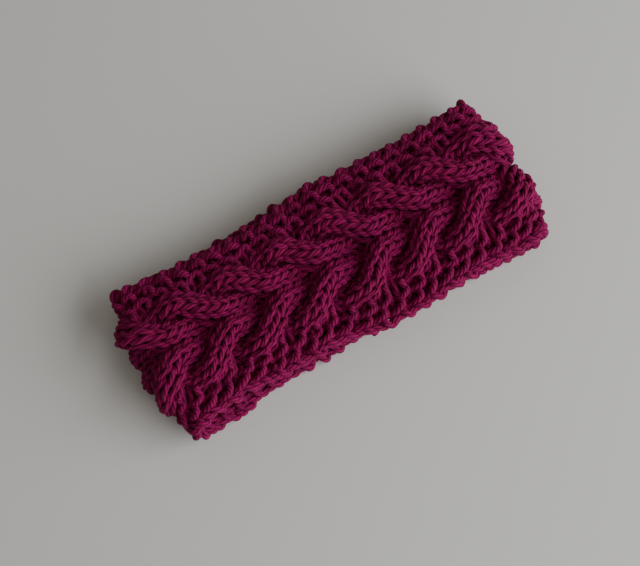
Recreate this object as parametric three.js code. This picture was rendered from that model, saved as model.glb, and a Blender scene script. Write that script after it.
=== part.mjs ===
// A cable-knit headband lying folded flat on a table, in millimetres, +Z up.
// The band is a loop of thick hand knitting. Two mirrored cables run round it side by side, each of them
// two strands that cross over and under each other, and a garter-stitch border edges the cables on either side.
// X runs along the folded band, Y across it, and the origin is on the table under the middle of the band.
import * as THREE from "three";

// Rows of knitting. They run across the band, and the strands of a cable cross once in every six rows.
const ROWS = 96;
const ROWS_PER_CROSSING = 6;
const FIRST_CROSSING_ROW = 3;

// The loop of the wall's middle, seen from the side: two flat layers joined by round folds.
const FOLD_X = 103.5;
const FOLD_RADIUS = 10;
const LOW_WALL_Z = 5.55;
const TOP_DIP = 0.08;
const LOOP_LENGTH = 4 * FOLD_X + 2 * Math.PI * FOLD_RADIUS;
const TOP_STRETCH = 3.1;

// Across the band. The two shifts put the origin under the middle of the band's box.
const HALF_WIDTH = 43.3;
const SHIFT_X = 0.9;
const SHIFT_Y = -2.01;
const CABLE_CENTRE = 14.4;
const LANE_SHIFT = 7.4;
const BORDER_INNER = 28.95;

// A strand's section, and its rise over and dip under the other strand.
const STRAND_HALF_WIDTH = 6.75;
const STRAND_HALF_THICKNESS = 2.8;
const CROSSING_RISE = 3.35;
const STRAND_ROLL = 0.2;
const DIRECTION_REACH = 1.5;
const STRAND_SIDES = 8;
const STRAND_STEPS = 128;

// When a strand moves, in rows after it is over its partner: out to the border's side slowly, on top,
// and back in quickly, underneath. It dives on the way and rises again.
const MOVES_OUT = [-2.6, 2.3];
const DIVES = [1.4, 4.7];
const MOVES_IN = [4.1, 5.9];
const RISES = [-5.6, -1.9];

// A border's section. Garter stitch puts a ridge on each face in turn, so the whole wall waves in and out.
const BORDER_THICKNESS = 4.4;
const BORDER_EDGE_THICKNESS = 2.8;
const BORDER_ROUNDING = 2.4;
const GARTER_WAVE = 0.9;
const SELVEDGE_WAVE = 0.7;
const CROSSING_PULL = 2.2;

// The unsupported borders sag towards the table, the top layer's more than the under layer's.
const SAG_START = 20;
const TOP_SAG = 3.6;
const LOW_SAG = 2.2;
const SAG_FADE_IN = 10;

// Garter stitch is shorter than the cables, which draws the borders in at the folds.
const FOLD_PULL = 3;

// How far each edge of the band strays across, in millimetres towards +Y, at rows round the loop.
// Row 0 is the middle of the top layer, row 48 the middle of the under layer.
const EDGE_DRIFT = [
  { row: 0, near: -0.6, far: 0.8 },
  { row: 4.5, near: 3.5, far: -2.3 },
  { row: 9, near: 2.5, far: -2.8 },
  { row: 14, near: 4.0, far: -2.3 },
  { row: 18, near: 3.2, far: -1.0 },
  { row: 21, near: 0.4, far: 0.8 },
  { row: 27, near: -1.6, far: 1.4 },
  { row: 36, near: 3.0, far: 3.6 },
  { row: 44, near: 4.4, far: 6.0 },
  { row: 51, near: 4.6, far: 7.6 },
  { row: 56, near: 4.2, far: 4.4 },
  { row: 64, near: 2.4, far: 2.8 },
  { row: 72, near: -0.2, far: 2.2 },
  { row: 77, near: -1.6, far: 1.2 },
  { row: 83, near: -0.4, far: -0.4 },
  { row: 91, near: -2.5, far: 1.3 },
  { row: 93.5, near: -3.6, far: 2.8 },
];

// How far the two folded ends bulge out along the band, in millimetres, at places across it.
const END_BULGES = [
  { y: -43, left: -0.5, right: -1.5 },
  { y: -32, left: 1.4, right: 1.8 },
  { y: -22, left: 0.6, right: 3.6 },
  { y: -8, left: 3.6, right: -2.4 },
  { y: 3, left: 1.2, right: -0.6 },
  { y: 14, left: 5.2, right: 1.8 },
  { y: 24, left: 1.8, right: 4.6 },
  { y: 34, left: 1.2, right: 1.8 },
  { y: 43, left: 1.4, right: 0.2 },
];

const YARN = new THREE.MeshStandardMaterial({
  color: new THREE.Color(0x8f0f55),
  roughness: 0.9,
  metalness: 0,
});

// Smooth interpolation of one column of EDGE_DRIFT, closed round the loop.
function drift(column, row) {
  const wrapped = THREE.MathUtils.euclideanModulo(row, ROWS);
  const count = EDGE_DRIFT.length;
  const next = EDGE_DRIFT.findIndex((entry) => entry.row > wrapped);
  const i = (next < 0 ? count : next) - 1;
  const at = (k) => EDGE_DRIFT[(k + count) % count];
  const before = at(i);
  const after = at(i + 1);
  const span = after.row > before.row ? after.row - before.row : after.row + ROWS - before.row;
  const t = (wrapped - before.row) / span;
  const smooth = t * t * (3 - 2 * t);
  return before[column] + (after[column] - before[column]) * smooth;
}

// A point moved with the bulge of the end that it is at, and kept above the table.
function settled(point) {
  const last = END_BULGES.length - 1;
  const y = THREE.MathUtils.clamp(point.y, END_BULGES[0].y, END_BULGES[last].y);
  const next = Math.max(END_BULGES.findIndex((entry) => entry.y >= y), 1);
  const before = END_BULGES[next - 1];
  const after = END_BULGES[next];
  const end = point.x < 0 ? "left" : "right";
  const t = THREE.MathUtils.smoothstep(y, before.y, after.y);
  const bulge = THREE.MathUtils.lerp(before[end], after[end], t);
  const share = THREE.MathUtils.smoothstep(Math.abs(point.x), FOLD_X - 2 * FOLD_RADIUS, FOLD_X + FOLD_RADIUS);
  point.x += Math.sign(point.x) * bulge * share;
  point.z = Math.max(point.z, 0);
  return point;
}

// Distance round the loop at a row. Rows are a little longer on the top layer than on the under layer.
function distanceAtRow(row) {
  return (LOOP_LENGTH * row) / ROWS + TOP_STRETCH * Math.sin((2 * Math.PI * row) / ROWS);
}

// The middle of the wall in the XZ plane, at a distance round the loop from the middle of the top layer.
function loopPoint(distance) {
  const d = THREE.MathUtils.euclideanModulo(distance, LOOP_LENGTH);
  const halfTurn = Math.PI * FOLD_RADIUS;
  let x;
  let z;
  if (d < FOLD_X) {
    x = -d;
    z = 2 * FOLD_RADIUS;
  } else if (d < FOLD_X + halfTurn) {
    const angle = (d - FOLD_X) / FOLD_RADIUS;
    x = -FOLD_X - FOLD_RADIUS * Math.sin(angle);
    z = FOLD_RADIUS * (1 + Math.cos(angle));
  } else if (d < 3 * FOLD_X + halfTurn) {
    x = d - halfTurn - 2 * FOLD_X;
    z = 0;
  } else if (d < 3 * FOLD_X + 2 * halfTurn) {
    const angle = (d - 3 * FOLD_X - halfTurn) / FOLD_RADIUS;
    x = FOLD_X + FOLD_RADIUS * Math.sin(angle);
    z = FOLD_RADIUS * (1 - Math.cos(angle));
  } else {
    x = LOOP_LENGTH - d;
    z = 2 * FOLD_RADIUS;
  }
  const inwards = Math.abs(x) < FOLD_X ? Math.cos((Math.PI * x) / (2 * FOLD_X)) ** 2 : 0;
  return new THREE.Vector2(x, LOW_WALL_Z + z * (1 - TOP_DIP * inwards));
}

// How far the wall hangs down at a place across the band. The folds stand up and don't hang.
function sag(x, z, across) {
  const overhang = THREE.MathUtils.clamp((Math.abs(across) - SAG_START) / (HALF_WIDTH - SAG_START), 0, 1.1);
  const flat = 1 - THREE.MathUtils.smoothstep(Math.abs(x), FOLD_X - SAG_FADE_IN, FOLD_X + FOLD_RADIUS);
  const height = THREE.MathUtils.clamp((z - LOW_WALL_Z) / (2 * FOLD_RADIUS), 0, 1);
  return overhang ** 2 * flat * THREE.MathUtils.lerp(LOW_SAG, TOP_SAG, height);
}

// A point of the fabric: its row, its place across the band, and how far it stands out from the wall's middle.
function wallPoint(row, across, out) {
  const distance = distanceAtRow(row);
  const here = loopPoint(distance);
  const along = loopPoint(distance + 1).sub(loopPoint(distance - 1)).normalize();
  const atFold = THREE.MathUtils.smoothstep(Math.abs(here.x), FOLD_X - FOLD_RADIUS, FOLD_X + FOLD_RADIUS);
  const inBorder = THREE.MathUtils.smoothstep(Math.abs(across), CABLE_CENTRE + LANE_SHIFT, BORDER_INNER);
  const offset = out - FOLD_PULL * atFold * inBorder;
  const x = here.x + SHIFT_X + along.y * offset;
  const z = here.y - along.x * offset;
  const share = THREE.MathUtils.clamp(across / HALF_WIDTH, -1, 1) / 2 + 0.5;
  const y = across + SHIFT_Y + THREE.MathUtils.lerp(drift("near", row), drift("far", row), share);
  return new THREE.Vector3(x, y, z - sag(here.x, here.y, across));
}

// A closed ring-shaped solid swept round the band: one ring of points for each step, joined to the next,
// and the last ring joined to the first.
function sweptLoop(steps, ringAt) {
  const rings = Array.from({ length: steps }, (_, step) => ringAt((ROWS * step) / steps));
  const sides = rings[0].length;
  const index = [];
  for (let step = 0; step < steps; step++) {
    const ring = step * sides;
    const next = ((step + 1) % steps) * sides;
    for (let side = 0; side < sides; side++) {
      const other = (side + 1) % sides;
      index.push(ring + side, next + side, next + other);
      index.push(ring + side, next + other, ring + other);
    }
  }
  const geometry = new THREE.BufferGeometry().setFromPoints(rings.flat());
  geometry.setIndex(index);
  geometry.computeVertexNormals();
  return geometry;
}

// The centre line of one strand. side is +1 for the cable next to the far border, -1 for the near one.
// The strand passes over its partner on the way out to the border, and under it on the way back in.
class StrandPath extends THREE.Curve {
  constructor(side, crossingRow) {
    super();
    this.side = side;
    this.crossingRow = crossingRow;
  }

  // Rows since the strand was over its partner, from half a period before to half a period after.
  rowsPastCrossing(row) {
    const past = row - this.crossingRow + ROWS_PER_CROSSING;
    return THREE.MathUtils.euclideanModulo(past, 2 * ROWS_PER_CROSSING) - ROWS_PER_CROSSING;
  }

  // -1 beside the middle of the band, 1 beside the border.
  lane(row) {
    const past = this.rowsPastCrossing(row);
    const out = THREE.MathUtils.smoothstep(past, ...MOVES_OUT);
    return 2 * (out - THREE.MathUtils.smoothstep(past, ...MOVES_IN)) - 1;
  }

  // -1 under the other strand, 1 over it.
  height(row) {
    const past = this.rowsPastCrossing(row);
    const up = THREE.MathUtils.smoothstep(past, ...RISES);
    return 2 * (up - THREE.MathUtils.smoothstep(past, ...DIVES)) - 1;
  }

  across(row) {
    return this.side * (CABLE_CENTRE + LANE_SHIFT * this.lane(row));
  }

  getPoint(t) {
    const row = t * ROWS;
    return wallPoint(row, this.across(row), CROSSING_RISE * this.height(row));
  }

  // The direction in which the strand's outer face looks, from two points through the wall.
  outward(row) {
    const across = this.across(row);
    return wallPoint(row, across, 1).sub(wallPoint(row, across, 0)).normalize();
  }
}

function strandGeometry(side, crossingRow) {
  const path = new StrandPath(side, crossingRow);
  const turn = (2 * Math.PI) / STRAND_SIDES;
  const reach = DIRECTION_REACH / ROWS;
  return sweptLoop(STRAND_STEPS, (row) => {
    const t = row / ROWS;
    const centre = path.getPoint(t);
    const along = path.getPoint(t + reach).sub(path.getPoint(t - reach)).normalize();
    const sideways = new THREE.Vector3().crossVectors(along, path.outward(row)).normalize();
    const roll = -side * STRAND_ROLL * path.lane(row);
    sideways.applyAxisAngle(along, roll);
    const outwards = new THREE.Vector3().crossVectors(sideways, along);
    return Array.from({ length: STRAND_SIDES }, (_, i) => {
      const angle = turn * (i + 0.5);
      const point = centre
        .clone()
        .addScaledVector(sideways, STRAND_HALF_WIDTH * Math.cos(angle))
        .addScaledVector(outwards, STRAND_HALF_THICKNESS * Math.sin(angle));
      return settled(point);
    });
  });
}

// One garter-stitch border, whose inner edge is pulled in towards the cable at each crossing.
function borderGeometry(side) {
  const middle = BORDER_THICKNESS / 2;
  const edge = BORDER_EDGE_THICKNESS / 2;
  return sweptLoop(ROWS, (row) => {
    const ridge = Math.cos(Math.PI * row);
    const fromCrossing = (Math.PI * (row - FIRST_CROSSING_ROW)) / ROWS_PER_CROSSING;
    const inner = BORDER_INNER - CROSSING_PULL * Math.cos(fromCrossing) ** 4;
    const outer = HALF_WIDTH + SELVEDGE_WAVE * ridge * side;
    const wave = GARTER_WAVE * ridge;
    const section = [
      [inner, -edge],
      [inner + BORDER_ROUNDING, -middle],
      [outer - BORDER_ROUNDING, -middle],
      [outer, -edge],
      [outer, edge],
      [outer - BORDER_ROUNDING, middle],
      [inner + BORDER_ROUNDING, middle],
      [inner, edge],
    ];
    const ring = section.map(([across, out]) => settled(wallPoint(row, side * across, out + wave)));
    return side > 0 ? ring : ring.reverse();
  });
}

function namedMesh(name, geometry) {
  const mesh = new THREE.Mesh(geometry, YARN);
  mesh.name = name;
  return mesh;
}

const headband = new THREE.Group();
for (const [edgeName, side] of [
  ["upper", 1],
  ["lower", -1],
]) {
  headband.add(namedMesh(`${edgeName}_border`, borderGeometry(side)));
  for (const strand of [1, 2]) {
    const crossingRow = FIRST_CROSSING_ROW + (strand - 1) * ROWS_PER_CROSSING;
    headband.add(namedMesh(`${edgeName}_cable_strand_${strand}`, strandGeometry(side, crossingRow)));
  }
}

export default headband;
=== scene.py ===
import math

import bmesh
import bpy
import numpy as np
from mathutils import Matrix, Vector


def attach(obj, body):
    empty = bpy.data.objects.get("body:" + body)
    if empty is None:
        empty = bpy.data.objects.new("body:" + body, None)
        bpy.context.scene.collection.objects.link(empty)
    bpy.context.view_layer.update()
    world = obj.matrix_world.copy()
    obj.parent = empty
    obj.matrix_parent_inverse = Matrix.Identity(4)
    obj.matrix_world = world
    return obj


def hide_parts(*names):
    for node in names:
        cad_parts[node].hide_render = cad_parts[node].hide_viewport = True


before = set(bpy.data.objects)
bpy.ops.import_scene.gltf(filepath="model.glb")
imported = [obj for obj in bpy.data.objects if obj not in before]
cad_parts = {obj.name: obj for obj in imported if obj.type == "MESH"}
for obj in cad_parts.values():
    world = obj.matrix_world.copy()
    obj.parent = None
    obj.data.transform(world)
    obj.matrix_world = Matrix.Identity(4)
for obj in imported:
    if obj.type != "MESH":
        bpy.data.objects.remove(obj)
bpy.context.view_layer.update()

# The four strands of the two cables, each three columns of knit stitches wide.
# A strand goes round the whole band. It crosses over its partner on the way out to the border and under it
# on the way back in, and each of its rows is one plied yarn bent into loops that hold the next row's loops.
ROWS = 96
ROWS_PER_CROSSING = 6
FIRST_CROSSING_ROW = 3
# The wall of knitting seen from the side, in millimetres: two layers that meet in a round fold at each end.
FOLD_X = 103.5
FOLD_RADIUS = 10
LOW_WALL_Z = 5.55
TOP_DIP = 0.08
LOOP_LENGTH = 4 * FOLD_X + 2 * math.pi * FOLD_RADIUS
TOP_STRETCH = 3.1
# Its width, and how its open edges sag and its folds draw in.
HALF_WIDTH = 43.3
BORDER_INNER = 28.95
SHIFT_X = 0.9
SHIFT_Y = -2.01
SAG_START = 20
TOP_SAG = 3.6
LOW_SAG = 2.2
SAG_FADE_IN = 10
SAG_LIMIT = 1.1
FOLD_PULL = 3
EDGE_DRIFT = [
    # row, near edge, far edge
    (0, -0.6, 0.8),
    (4.5, 3.5, -2.3),
    (9, 2.5, -2.8),
    (14, 4.0, -2.3),
    (18, 3.2, -1.0),
    (21, 0.4, 0.8),
    (27, -1.6, 1.4),
    (36, 3.0, 3.6),
    (44, 4.4, 6.0),
    (51, 4.6, 7.6),
    (56, 4.2, 4.4),
    (64, 2.4, 2.8),
    (72, -0.2, 2.2),
    (77, -1.6, 1.2),
    (83, -0.4, -0.4),
    (91, -2.5, 1.3),
    (93.5, -3.6, 2.8),
]
END_BULGES = [
    # y, left end, right end
    (-43, -0.5, -1.5),
    (-32, 1.4, 1.8),
    (-22, 0.6, 3.6),
    (-8, 3.6, -2.4),
    (3, 1.2, -0.6),
    (14, 5.2, 1.8),
    (24, 1.8, 4.6),
    (34, 1.2, 1.8),
    (43, 1.4, 0.2),
]
# Each strand's way between its two lanes: when it moves, dives and rises, in rows from its crossing over.
CABLE_CENTRE = 14.4
LANE_SHIFT = 7.4
CROSSING_RISE = 3.35
MOVES_OUT = (-2.6, 2.3)
DIVES = (1.4, 4.7)
MOVES_IN = (4.1, 5.9)
RISES = (-5.6, -1.9)
DIRECTION_REACH = 1.5
STRAND_ROLL = 0.2
STRAND_CURL = 5.2
STRAND_LIFT = 1.5
# The stitches and their yarn.
COLUMNS = 3
COLUMN_WIDTH = 6.6
LOOP_HEIGHT = 0.86
LOOP_SWELL = 0.215
LOOP_DEPTH = 1.4
LOOP_TILT = 0.3
POINTS_PER_LOOP = 23
TIE_POINTS = 9
YARN_RADIUS = 1.5
YARN_ROUNDNESS = 3
SEED = 11
KNOT_POINTS = 9
THICKNESS_SPREAD = 0.09
ROW_SPREAD = 0.07
PLACE_SPREAD = 0.3
MM_PER_METRE = 1000
MERGE_DISTANCE = 1e-7
FLOOR_SOFTNESS = 0.3
# The yarn's look: its plies, with painted shade in the grooves between them and painted highlight on their
# crests, its fibres, and slow patches of lighter and darker dye.
PLIES = 4
PLY_SPACING = 2.8
FIBRE_SCALE = 2600
PATCH_SCALE = 160
NOISE_DETAIL = 2
FIBRE_RELIEF = 0.5
PLY_RELIEF = 0.00045
# How much of the base colour is painted shade in the ply grooves and painted highlight on the ply crests.
PLY_PAINTED_SHADE = 0.4
PATCH_SHADE = 0.45
FIBRE_SHADE = 0.25
# The yarn's colour ramp. Its dark end holds the painted shade of the ply grooves, and its bright end the
# painted highlight of the crests. The dye's patches and fibres fall between.
MAGENTA_STOPS = (
    (0.2, (0.036, 0.0, 0.011, 1)),
    (0.92, (0.315, 0.0005, 0.091, 1)),
)
YARN_FINISH = {
    "Roughness": 0.8,
    "Specular IOR Level": 0.16,
    "Sheen Weight": 0.12,
    "Sheen Roughness": 0.5,
    "Sheen Tint": (1.0, 0.12, 0.48, 1),
}

generator = np.random.default_rng(SEED)


def smooth(x, low, high):
    """0 below low, 1 above high, and an even curve between them."""
    t = np.clip((x - low) / (high - low), 0, 1)
    return t * t * (3 - 2 * t)


def unit(v):
    """Directions of length 1."""
    return v / np.linalg.norm(v, axis=-1, keepdims=True)


def uneven(count, points, spread):
    """A smooth random curve for each of several yarns, because hand knitting is never quite even."""
    knots = generator.normal(0, spread, (count, points // KNOT_POINTS + 2))
    place = np.arange(points) / KNOT_POINTS
    before = place.astype(int)
    share = smooth(place - before, 0, 1)
    return knots[:, before] * (1 - share) + knots[:, before + 1] * share


def between(place, places, values):
    """Values listed at rising places, joined by even curves."""
    i = np.clip(np.searchsorted(places, place, side="right") - 1, 0, len(places) - 2)
    return values[i] + (values[i + 1] - values[i]) * smooth(place, places[i], places[i + 1])


def edge_drift(row, column):
    """How far one edge of the band strays at a row, closed round the loop."""
    table = np.array(EDGE_DRIFT)
    rows = np.append(table[:, 0], ROWS)
    strays = np.append(table[:, column], table[0, column])
    return between(np.mod(row, ROWS), rows, strays)


def settled(points):
    """Points moved with the bulge of the end that they are at."""
    table = np.array(END_BULGES)
    x = points[..., 0]
    left = between(points[..., 1], table[:, 0], table[:, 1])
    right = between(points[..., 1], table[:, 0], table[:, 2])
    share = smooth(np.abs(x), FOLD_X - 2 * FOLD_RADIUS, FOLD_X + FOLD_RADIUS)
    moved = x + share * np.where(x < 0, -left, right)
    return np.stack([moved, points[..., 1], points[..., 2]], axis=-1)


def loop_point(distance):
    """The middle of the wall seen from the side: x and z at a distance from the middle of the top layer."""
    d = np.mod(distance, LOOP_LENGTH)
    half_turn = math.pi * FOLD_RADIUS
    left = (d - FOLD_X) / FOLD_RADIUS
    right = (d - 3 * FOLD_X - half_turn) / FOLD_RADIUS
    parts = [
        d < FOLD_X,
        d < FOLD_X + half_turn,
        d < 3 * FOLD_X + half_turn,
        d < 3 * FOLD_X + 2 * half_turn,
    ]
    left_x = -FOLD_X - FOLD_RADIUS * np.sin(left)
    right_x = FOLD_X + FOLD_RADIUS * np.sin(right)
    x = np.select(parts, [-d, left_x, d - half_turn - 2 * FOLD_X, right_x], LOOP_LENGTH - d)
    left_z = FOLD_RADIUS * (1 + np.cos(left))
    right_z = FOLD_RADIUS * (1 - np.cos(right))
    z = np.select(parts, [2 * FOLD_RADIUS, left_z, 0, right_z], 2 * FOLD_RADIUS)
    inwards = np.where(np.abs(x) < FOLD_X, np.cos(np.pi * x / (2 * FOLD_X)) ** 2, 0)
    return x, LOW_WALL_Z + z * (1 - TOP_DIP * inwards)


def wall_point(row, across, out):
    """A point of the knitting from its row, its place across and its distance out of the wall."""
    distance = LOOP_LENGTH * row / ROWS + TOP_STRETCH * np.sin(2 * np.pi * row / ROWS)
    x, z = loop_point(distance)
    x1, z1 = loop_point(distance + 1)
    x0, z0 = loop_point(distance - 1)
    step = np.hypot(x1 - x0, z1 - z0)
    at_fold = smooth(np.abs(x), FOLD_X - FOLD_RADIUS, FOLD_X + FOLD_RADIUS)
    in_border = smooth(np.abs(across), CABLE_CENTRE + LANE_SHIFT, BORDER_INNER)
    offset = out - FOLD_PULL * at_fold * in_border
    overhang = np.clip((np.abs(across) - SAG_START) / (HALF_WIDTH - SAG_START), 0, SAG_LIMIT)
    flat = 1 - smooth(np.abs(x), FOLD_X - SAG_FADE_IN, FOLD_X + FOLD_RADIUS)
    height = np.clip((z - LOW_WALL_Z) / (2 * FOLD_RADIUS), 0, 1)
    sag = overhang**2 * flat * (LOW_SAG + (TOP_SAG - LOW_SAG) * height)
    share = np.clip(across / HALF_WIDTH, -1, 1) / 2 + 0.5
    near = edge_drift(row, 1)
    far = edge_drift(row, 2)
    moved_x = x + SHIFT_X + offset * (z1 - z0) / step
    moved_y = across + SHIFT_Y + near + (far - near) * share
    moved_z = z - offset * (x1 - x0) / step - sag
    return np.stack([moved_x, moved_y, moved_z], axis=-1)


def rows_past(crossing_row, row):
    """Rows since the strand was over its partner, from half a period before to half a period after."""
    return np.mod(row - crossing_row + ROWS_PER_CROSSING, 2 * ROWS_PER_CROSSING) - ROWS_PER_CROSSING


def strand_lane(crossing_row, row):
    """-1 beside the middle of the band, 1 beside the border."""
    past = rows_past(crossing_row, row)
    return 2 * (smooth(past, *MOVES_OUT) - smooth(past, *MOVES_IN)) - 1


def strand_centre(side, crossing_row, row):
    """The middle of a strand, high where it is over its partner and low where it is under it."""
    past = rows_past(crossing_row, row)
    height = 2 * (smooth(past, *RISES) - smooth(past, *DIVES)) - 1
    across = side * (CABLE_CENTRE + LANE_SHIFT * strand_lane(crossing_row, row))
    return wall_point(row, across, CROSSING_RISE * height)


def strand_point(side, crossing_row, row, lateral, out):
    """A point of a strand, whose edges curl under."""
    middle = strand_centre(side, crossing_row, row)
    ahead = strand_centre(side, crossing_row, row + DIRECTION_REACH)
    behind = strand_centre(side, crossing_row, row - DIRECTION_REACH)
    along = unit(ahead - behind)
    lane = strand_lane(crossing_row, row)
    across = side * (CABLE_CENTRE + LANE_SHIFT * lane)
    outward = unit(wall_point(row, across, 1) - wall_point(row, across, 0))
    sideways = unit(np.cross(along, outward))
    roll = -side * STRAND_ROLL * lane[..., None]
    sideways = sideways * np.cos(roll) + np.cross(along, sideways) * np.sin(roll)
    outward = np.cross(sideways, along)
    curl = (lateral / STRAND_CURL)[..., None]
    facing = outward * np.cos(curl) + sideways * np.sin(curl)
    rim = sideways * np.sin(curl) + outward * (np.cos(curl) - 1)
    return middle + STRAND_CURL * rim + STRAND_LIFT * outward + facing * out[..., None]


def pulled(lines, end, target, reach=TIE_POINTS):
    """The rows' yarns with one end drawn to a target, so that the yarn goes on there into its neighbour."""
    steps = np.arange(lines.shape[1])
    from_end = steps if end == 0 else steps[::-1]
    share = 1 - smooth(from_end, 0, reach)
    return lines + share[None, :, None] * (target - lines[:, end])[:, None]


def yarn_mesh(name, unsettled, plumpness=1):
    """One mesh of round yarns from their centre lines, with a UV map along each yarn and round it."""
    lines = settled(unsettled)
    count, points, _ = lines.shape
    curve = bpy.data.curves.new(name, "CURVE")
    curve.dimensions = "3D"
    curve.bevel_depth = YARN_RADIUS / MM_PER_METRE
    curve.bevel_resolution = YARN_ROUNDNESS
    curve.use_fill_caps = True
    thicknesses = plumpness + uneven(count, points, THICKNESS_SPREAD)
    for line, thickness in zip(lines, thicknesses):
        spline = curve.splines.new("POLY")
        spline.points.add(points - 1)
        spline.points.foreach_set("co", np.column_stack([line / MM_PER_METRE, np.ones(points)]).ravel())
        spline.points.foreach_set("radius", thickness)
    swept = bpy.data.objects.new(name, curve)
    mesh = bpy.data.meshes.new_from_object(swept)
    bpy.data.objects.remove(swept)
    built = bmesh.new()
    built.from_mesh(mesh)
    bmesh.ops.remove_doubles(built, verts=built.verts, dist=MERGE_DISTANCE)
    built.to_mesh(mesh)
    built.free()
    mesh.shade_smooth()
    # The table presses flat what would hang below it.
    places = np.empty(len(mesh.vertices) * 3)
    mesh.vertices.foreach_get("co", places)
    height = places[2::3] * MM_PER_METRE
    pressed = (height + np.sqrt(height**2 + FLOOR_SOFTNESS)) / 2
    places[2::3] = np.maximum(pressed, 0) / MM_PER_METRE
    mesh.vertices.foreach_set("co", places)
    # The curve's UV map runs from 0 to 1 along each yarn. Here it runs in millimetres.
    layer = mesh.uv_layers[0]
    layer.name = "yarn"
    uv = np.empty(len(mesh.loops) * 2)
    layer.data.foreach_get("uv", uv)
    uv[0::2] *= np.linalg.norm(np.diff(lines, axis=1), axis=-1).sum(axis=1).mean()
    layer.data.foreach_set("uv", uv)
    mesh.update()
    obj = bpy.data.objects.new(name, mesh)
    bpy.context.scene.collection.objects.link(obj)
    return obj


class Socket:
    """A shader socket. Arithmetic on it adds Math nodes, and node() adds any other node."""

    def __init__(self, tree, output=None):
        self.tree = tree
        self.output = output

    def node(self, kind, output, inputs, stops=(), **settings):
        made = self.tree.nodes.new(kind)
        for key, value in settings.items():
            setattr(made, key, value)
        for index, (position, colour) in enumerate(stops):
            made.color_ramp.elements[index].position = position
            made.color_ramp.elements[index].color = colour
        for key, value in inputs.items():
            if isinstance(value, Socket):
                self.tree.links.new(value.output, made.inputs[key])
            else:
                made.inputs[key].default_value = value
        return Socket(self.tree, made.outputs[output])

    def beside(self, output):
        """Another output of the same node."""
        return Socket(self.tree, self.output.node.outputs[output])

    def maths(self, operation, *values):
        return self.node("ShaderNodeMath", 0, dict(enumerate(values)), operation=operation)

    def __add__(self, other):
        return self.maths("ADD", self, other)

    def __radd__(self, other):
        return self.maths("ADD", other, self)

    def __mul__(self, other):
        return self.maths("MULTIPLY", self, other)

    def __rmul__(self, other):
        return self.maths("MULTIPLY", other, self)

    def __truediv__(self, other):
        return self.maths("DIVIDE", self, other)

    def __rtruediv__(self, other):
        return self.maths("DIVIDE", other, self)


def yarn_material():
    """Magenta plied yarn: slanting plies with painted shade in the grooves between them and painted
    highlight on their crests, fine fibres, and a faint sheen.
    """
    material = bpy.data.materials.new("magenta_yarn")
    material.use_nodes = True
    tree = material.node_tree
    shader = tree.nodes["Principled BSDF"]
    graph = Socket(tree)
    uv = graph.node("ShaderNodeUVMap", "UV", {}, uv_map="yarn")
    length = graph.node("ShaderNodeSeparateXYZ", "X", {"Vector": uv})
    turns = length.beside("Y")
    ply = (turns * PLIES + length / PLY_SPACING) * math.pi
    wave = graph.maths("SINE", ply)
    height = graph.maths("ABSOLUTE", wave)
    place = graph.node("ShaderNodeTexCoord", "Object", {})
    noise = {"Vector": place, "Detail": NOISE_DETAIL}
    fibres = graph.node("ShaderNodeTexNoise", "Fac", noise | {"Scale": FIBRE_SCALE})
    patches = graph.node("ShaderNodeTexNoise", "Fac", noise | {"Scale": PATCH_SCALE})
    relief = height + fibres * FIBRE_RELIEF
    bump = graph.node("ShaderNodeBump", "Normal", {"Height": relief, "Strength": 1, "Distance": PLY_RELIEF})
    # Painted shade and highlight: the base colour is darker in the ply grooves and lighter on the crests.
    # It is mixed with the dye's random patches and fibres.
    shade = height * PLY_PAINTED_SHADE + patches * PATCH_SHADE + fibres * FIBRE_SHADE
    colour = graph.node("ShaderNodeValToRGB", "Color", {"Fac": shade}, stops=MAGENTA_STOPS)
    tree.links.new(colour.output, shader.inputs["Base Color"])
    tree.links.new(bump.output, shader.inputs["Normal"])
    for key, value in YARN_FINISH.items():
        shader.inputs[key].default_value = value
    return material


yarn = yarn_material()
loop_steps = np.arange(COLUMNS * POINTS_PER_LOOP + 1) / POINTS_PER_LOOP
loop_turn = 2 * np.pi * loop_steps - np.pi
every_row = np.arange(ROWS)
row_middles = every_row + 0.5
strand_lines = {}
for rope, side in (("upper", 1), ("lower", -1)):
    for strand in (0, 1):
        crossing_row = FIRST_CROSSING_ROW + strand * ROWS_PER_CROSSING
        rows = row_middles[:, None] + LOOP_HEIGHT * np.cos(loop_turn)
        rows = rows + uneven(ROWS, loop_turn.size, ROW_SPREAD)
        swell = LOOP_SWELL * COLUMN_WIDTH * np.sin(2 * loop_turn)
        lateral = (loop_steps - COLUMNS / 2) * COLUMN_WIDTH + swell
        lateral = lateral + uneven(ROWS, loop_turn.size, PLACE_SPREAD)
        out = LOOP_TILT * np.cos(loop_turn) - LOOP_DEPTH * np.cos(2 * loop_turn)
        out = out + uneven(ROWS, loop_turn.size, PLACE_SPREAD)
        strand_lines[rope, strand] = strand_point(side, crossing_row, rows, lateral, out)

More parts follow.
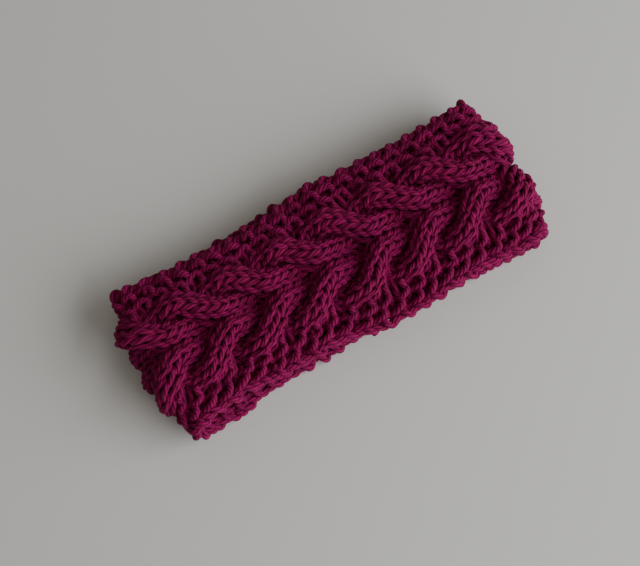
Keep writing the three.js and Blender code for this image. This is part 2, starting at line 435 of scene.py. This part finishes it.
# Each row's yarn goes on from one strand of a cable into the other, and then into the other cable. Its ends
# beside the borders are kept, because the borders' yarns tie in there.
outer_strand = (strand_lane(FIRST_CROSSING_ROW, row_middles) < 0).astype(int)
cable_edges = {}
inner_lines = {}
for rope, outer_end in (("upper", -1), ("lower", 0)):
    inner_end = -1 - outer_end
    both = np.stack([strand_lines[rope, 0], strand_lines[rope, 1]])
    outer = both[outer_strand, every_row]
    inner = both[1 - outer_strand, every_row]
    middle = (outer[:, inner_end] + inner[:, outer_end]) / 2
    cable_edges[rope] = outer[:, outer_end]
    both[outer_strand, every_row] = pulled(outer, inner_end, middle)
    inner_lines[rope] = pulled(inner, outer_end, middle)
    strand_lines[rope, 0], strand_lines[rope, 1] = both
middle = (inner_lines["upper"][:, 0] + inner_lines["lower"][:, -1]) / 2
for rope, end in (("upper", 0), ("lower", -1)):
    both = np.stack([strand_lines[rope, 0], strand_lines[rope, 1]])
    both[1 - outer_strand, every_row] = pulled(inner_lines[rope], end, middle)
    strand_lines[rope, 0], strand_lines[rope, 1] = both
for (rope, strand), lines in strand_lines.items():
    name = f"{rope}_cable_strand_{strand + 1}"
    knitted = yarn_mesh(f"{name}_knitting", lines)
    knitted.data.materials.append(yarn)
    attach(knitted, "root")
    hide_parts(name)

# The yarn behind the cables. Where strands cross, each row's yarn passes behind them from one to the next,
# and closes the knitting there on the inside of the band.
FLOAT_REACH = 31
FLOAT_OUT = -3.4
FLOAT_WAVE = 0.34
FLOAT_WAVELENGTH = 14
FLOAT_POINTS = 33

float_across = np.linspace(-FLOAT_REACH, FLOAT_REACH, FLOAT_POINTS)
float_rows = row_middles[:, None] + FLOAT_WAVE * np.sin(2 * np.pi * float_across / FLOAT_WAVELENGTH)
floats = yarn_mesh("cable_floats", wall_point(float_rows, float_across, FLOAT_OUT))
floats.data.materials.append(yarn)
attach(floats, "root")

# The two garter-stitch borders. Each yarn goes out to the edge and turns back there every two rows. The
# ridges stand up as arches, each a post and a long bead along the edge, with deep holes between them: two
# rows on the outer face and one on the inner. The edge stitches make a plump cord of two yarns.
BORDER_COLUMNS = 2
BORDER_COLUMN_WIDTH = 5.0
BORDER_FIRST_STITCH = 0.7
CROSSING_PULL = 2.2
CROSSING_PULL_SHARPNESS = 4
GARTER_WAVE = 0.8
GARTER_SINK = 2.5
GARTER_DEPTH = 1.3
GARTER_LOOP_HEIGHT = 0.6
GARTER_LOOP_POINTS = 13
GARTER_SWELL = 0.2
TURN_POINTS = 12
BASE_TIE_POINTS = 5
ARCHES = [
    # side of the wall, first row, place of the foot and of the bead across the border, rise
    (1, 0, 1.5, 9.3, 5.0),
    (1, 1, -1.5, 3.6, 4.0),
    (-1, 1, 0.0, 9.2, 4.6),
]
ARCH_POINTS = 30
ARCH_START = -0.12
ARCH_END = 0.66
ARCH_REACH = 0.95
ARCH_SQUARENESS = 1.8
ARCH_PEAK = 1.4
ARCH_SINK = 2.1
ARCH_PLUMPNESS = 1.2
ARCH_UNEVENNESS = 1.8
EDGE_LATERAL = 11.8
EDGE_CORDS = {
    # radii of the cord's two yarns, and how far their outer halves stretch along the edge
    "upper": ((2.1, 0.5), 0.1),
    "lower": ((2.0, 0.9), 0.08),
}
EDGE_PLUMPNESS = 1.12
EDGE_UNEVENNESS = 2
EDGE_POINTS = 9


def border_point(side, row, lateral, out):
    """A point of a border, lateral millimetres from its inner edge."""
    from_crossing = np.pi * (row - FIRST_CROSSING_ROW) / ROWS_PER_CROSSING
    at_crossing = np.cos(from_crossing) ** CROSSING_PULL_SHARPNESS
    pull = CROSSING_PULL * at_crossing * (1 - lateral / (HALF_WIDTH - BORDER_INNER))
    return wall_point(row, side * (BORDER_INNER + BORDER_FIRST_STITCH - pull + lateral), out)


def knit_in(name, border, lines, plumpness=1):
    """Add one yarn mesh of a border to the part."""
    knitted = yarn_mesh(name, lines, plumpness)
    knitted.data.materials.append(yarn)
    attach(knitted, "root")
    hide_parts(border)


purled = np.where(every_row % 2 == 0, -1, 1)[:, None]
garter_steps = np.arange(BORDER_COLUMNS * GARTER_LOOP_POINTS + 1) / GARTER_LOOP_POINTS
garter_turn = 2 * np.pi * garter_steps - np.pi
garter_rows = row_middles[:, None] + GARTER_LOOP_HEIGHT * np.cos(garter_turn)
garter_rows = garter_rows + uneven(ROWS, garter_turn.size, ROW_SPREAD)
garter_swell = GARTER_SWELL * BORDER_COLUMN_WIDTH * np.sin(2 * garter_turn)
garter_lateral = garter_steps * BORDER_COLUMN_WIDTH + garter_swell
garter_lateral = garter_lateral + uneven(ROWS, garter_turn.size, PLACE_SPREAD)
garter_out = GARTER_DEPTH * np.cos(2 * garter_turn) * purled * np.cos(garter_turn)
garter_out = garter_out + GARTER_WAVE * np.cos(np.pi * garter_rows) - GARTER_SINK
turn_share = np.linspace(0, 1, TURN_POINTS + 2)[1:-1]
arch_turn = np.pi * np.linspace(ARCH_START, ARCH_END, ARCH_POINTS)
arch_bend = ARCH_REACH * (1 - np.cos(arch_turn)) ** ARCH_SQUARENESS
arch_height = np.sin(np.pi * np.linspace(0, 1, ARCH_POINTS) ** ARCH_PEAK)
edge_rows = np.arange(ROWS * EDGE_POINTS + 1) / EDGE_POINTS
edge_turns = np.pi * edge_rows + np.array([[0], [np.pi]])
for edge, side in (("upper", 1), ("lower", -1)):
    # The base goes out along one row, round the turn at the edge, and back along the next row.
    outward_rows = every_row[::2] + (0 if side > 0 else 1)
    return_rows = (outward_rows + 1) % ROWS
    lines = border_point(side, garter_rows, garter_lateral, garter_out)
    lines = pulled(lines, 0, cable_edges[edge], BASE_TIE_POINTS)
    start_out = garter_out[outward_rows, -1][:, None]
    end_out = garter_out[return_rows, -1][:, None]
    turn_out = start_out + (end_out - start_out) * turn_share
    start_lateral = garter_lateral[outward_rows, -1][:, None]
    end_lateral = garter_lateral[return_rows, -1][:, None]
    turn_lateral = start_lateral + (end_lateral - start_lateral) * turn_share
    turn_lateral = turn_lateral + (EDGE_LATERAL - turn_lateral) * np.sin(np.pi * turn_share)
    start_row = garter_rows[outward_rows, -1][:, None]
    end_row = garter_rows[return_rows, -1][:, None]
    end_row = end_row + ROWS * (end_row < start_row)
    turn_rows = start_row + (end_row - start_row) * turn_share
    turn_lines = border_point(side, turn_rows, turn_lateral, turn_out)
    path = np.concatenate([lines[outward_rows], turn_lines, lines[return_rows][:, ::-1]], axis=1)
    knit_in(f"{edge}_border_knitting", f"{edge}_border", path)

    # The arches, one to every two rows. Those on the outer face start at the edge of the cable.
    arches = []
    for face, first_row, foot, bead, rise in ARCHES:
        arch_rows = every_row[::2, None] + first_row + arch_bend
        arch_rows = arch_rows + uneven(ROWS // 2, ARCH_POINTS, ARCH_UNEVENNESS * ROW_SPREAD)
        stray = uneven(ROWS // 2, ARCH_POINTS, ARCH_UNEVENNESS * PLACE_SPREAD)
        arch_lateral = foot + (bead - foot) * np.sin(arch_turn) + stray
        arch_out = face * (rise * arch_height - ARCH_SINK)
        arch_out = arch_out + uneven(ROWS // 2, ARCH_POINTS, PLACE_SPREAD)
        arch_lines = border_point(side, arch_rows, arch_lateral, arch_out)
        if face > 0:
            arch_lines = pulled(arch_lines, 0, cable_edges[edge][first_row::2])
        arches.append(arch_lines)
    knit_in(f"{edge}_border_arches", f"{edge}_border", np.concatenate(arches), ARCH_PLUMPNESS)

    # The edge cord, whose two yarns twist round each other once every two rows.
    edge_radii, edge_stretch = EDGE_CORDS[edge]
    edge_radius = np.array(edge_radii)[:, None]
    edge_lateral = EDGE_LATERAL + edge_radius * np.cos(edge_turns)
    edge_lateral = edge_lateral + uneven(2, edge_rows.size, EDGE_UNEVENNESS * PLACE_SPREAD)
    edge_out = edge_radius * np.sin(edge_turns)
    bunched_rows = edge_rows + edge_stretch * np.sin(edge_turns)
    bunched_rows = bunched_rows + uneven(2, edge_rows.size, EDGE_UNEVENNESS * ROW_SPREAD)
    edge_lines = border_point(side, bunched_rows, edge_lateral, edge_out)
    knit_in(f"{edge}_border_edge", f"{edge}_border", edge_lines, EDGE_PLUMPNESS)

# The pale table that the band lies on, a plain matt sheet far larger than the picture.
FLOOR_SIZE = 4
FLOOR_COLOUR = (0.71, 0.71, 0.69, 1)
FLOOR_ROUGHNESS = 0.7

floor_mesh = bpy.data.meshes.new("table")
built = bmesh.new()
bmesh.ops.create_grid(built, x_segments=1, y_segments=1, size=FLOOR_SIZE / 2)
built.to_mesh(floor_mesh)
built.free()
floor = bpy.data.objects.new("table", floor_mesh)
bpy.context.scene.collection.objects.link(floor)
floor_material = bpy.data.materials.new("pale_table")
floor_material.use_nodes = True
floor_shader = floor_material.node_tree.nodes["Principled BSDF"]
floor_shader.inputs["Base Color"].default_value = FLOOR_COLOUR
floor_shader.inputs["Roughness"].default_value = FLOOR_ROUGHNESS
floor_mesh.materials.append(floor_material)

# The light: soft daylight from a window on the near right, and faint warm light from the whole room.
WINDOW_WIDTH = 1.9
WINDOW_HEIGHT = 1.3
WINDOW_PLACE = (0.94, -0.97, 0.64)
WINDOW_POWER = 36
WINDOW_COLOUR = (0.97, 0.985, 1.0)
ROOM_COLOUR = (1.0, 0.93, 0.84, 1)
ROOM_STRENGTH = 0.25

window_light = bpy.data.lights.new("window", "AREA")
window_light.shape = "RECTANGLE"
window_light.size = WINDOW_WIDTH
window_light.size_y = WINDOW_HEIGHT
window_light.energy = WINDOW_POWER
window_light.color = WINDOW_COLOUR
window = bpy.data.objects.new("window", window_light)
bpy.context.scene.collection.objects.link(window)
window.location = WINDOW_PLACE
window.rotation_mode = "QUATERNION"
window.rotation_quaternion = (-window.location).to_track_quat("-Z", "Y")
room = bpy.data.worlds.new("room")
room.use_nodes = True
room.node_tree.nodes["Background"].inputs["Color"].default_value = ROOM_COLOUR
room.node_tree.nodes["Background"].inputs["Strength"].default_value = ROOM_STRENGTH
bpy.context.scene.world = room

# The camera, held over the near left of the band and looking down at it.
CAMERA_LENS = 84
CAMERA_SENSOR = 36
CAMERA_AZIMUTH = math.radians(-30.3)
CAMERA_ELEVATION = math.radians(72.5)
CAMERA_DISTANCE = 0.812
CAMERA_TARGET = Vector((-0.0103, -0.0063, 0.015))

camera_data = bpy.data.cameras.new("camera")
camera_data.sensor_width = CAMERA_SENSOR
camera_data.lens = CAMERA_LENS
camera = bpy.data.objects.new("camera", camera_data)
bpy.context.scene.collection.objects.link(camera)
back_x = math.sin(CAMERA_AZIMUTH) * math.cos(CAMERA_ELEVATION)
back_y = -math.cos(CAMERA_AZIMUTH) * math.cos(CAMERA_ELEVATION)
back = Vector((back_x, back_y, math.sin(CAMERA_ELEVATION)))
camera.location = CAMERA_TARGET + back * CAMERA_DISTANCE
camera.rotation_mode = "QUATERNION"
camera.rotation_quaternion = (-back).to_track_quat("-Z", "Y")
bpy.context.scene.camera = camera
